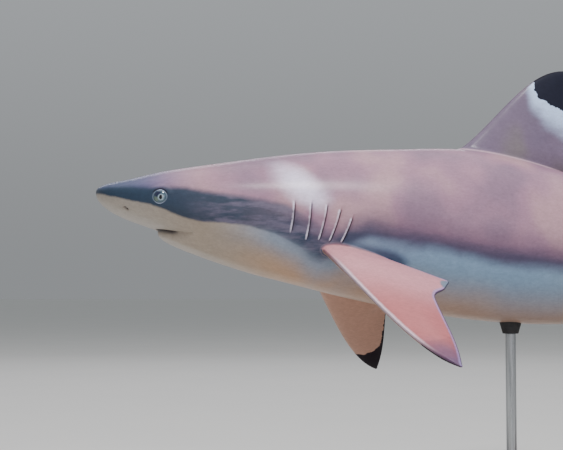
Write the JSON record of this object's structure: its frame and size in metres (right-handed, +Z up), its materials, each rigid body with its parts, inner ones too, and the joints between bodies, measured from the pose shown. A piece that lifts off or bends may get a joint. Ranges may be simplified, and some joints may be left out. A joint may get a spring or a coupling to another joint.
{
  "type": "blacktip reef shark model on a display stand",
  "caption": "Life-size still model of a blacktip reef shark swimming with its nose slightly up and its tail bent to one side, held over a flat base by slim rods.",
  "frame": {"origin": "middle of the underside of the stand's base", "axes": "+Z up, -X towards the snout, -Y towards the shark's left side"},
  "size_m": [1.3228, 0.4794, 0.4977],
  "materials": {
    "shark_skin": "satin, fine-grained skin: mauve-brown back, pale belly, black fin tips",
    "shark_eye": "glossy, pale grey-blue iris with an upright slit pupil",
    "stand_wood": "dark stained, satin lacquer",
    "stand_steel": "fine brushed",
    "stand_pad": "matt black"
  },
  "bodies": {
    "root": {"head": "shark_skin", "lower_jaw": "shark_skin", "gills": "shark_skin", "trunk_front": "shark_skin", "trunk_rear": "shark_skin", "tail_stalk": "shark_skin", "first_dorsal_fin": "shark_skin", "second_dorsal_fin": "shark_skin", "anal_fin": "shark_skin", "pectoral_fin_left": "shark_skin", "pectoral_fin_right": "shark_skin", "pelvic_fin_left": "shark_skin", "pelvic_fin_right": "shark_skin", "caudal_upper_lobe": "shark_skin", "caudal_lower_lobe": "shark_skin", "eye_left": "shark_eye", "eye_right": "shark_eye", "stand_base": "stand_wood", "stand_rod_front": "stand_steel", "stand_rod_rear": "stand_steel", "stand_flange_front": "stand_steel", "stand_flange_rear": "stand_steel", "stand_saddle_front": "stand_pad", "stand_saddle_rear": "stand_pad"}
  },
  "joints": []
}
